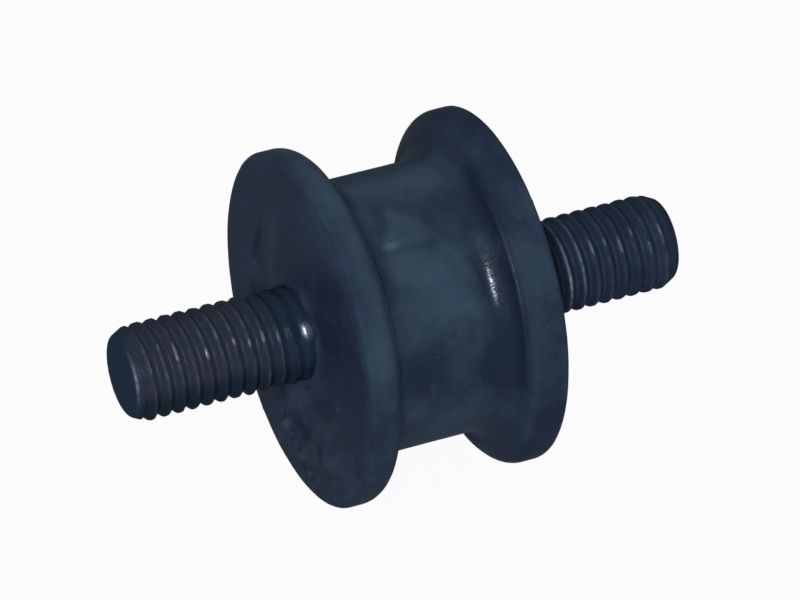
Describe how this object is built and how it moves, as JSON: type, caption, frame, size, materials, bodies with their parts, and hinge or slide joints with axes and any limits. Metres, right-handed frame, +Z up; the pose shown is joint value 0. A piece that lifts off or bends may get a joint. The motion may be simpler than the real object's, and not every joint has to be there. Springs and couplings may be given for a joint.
{
  "type": "radiator mount",
  "caption": "Rubber spool with round flanges and a threaded metal stud at each end, which holds a radiator to a frame and takes up its vibration.",
  "frame": {"origin": "middle of the rubber spool, on the axis of the studs", "axes": "+X along the axis towards the right stud, +Z up as the mount lies on its two flange rims"},
  "size_m": [0.0488, 0.03, 0.03],
  "materials": {
    "rubber": "matte black rubber with a faint bloom",
    "plate_steel": "dark bonding coat on steel",
    "stud_steel": "black phosphate on steel"
  },
  "bodies": {
    "root": {"rubber_body": "rubber", "left_plate": "plate_steel", "right_plate": "plate_steel", "left_stud": "stud_steel", "right_stud": "stud_steel"}
  },
  "joints": []
}
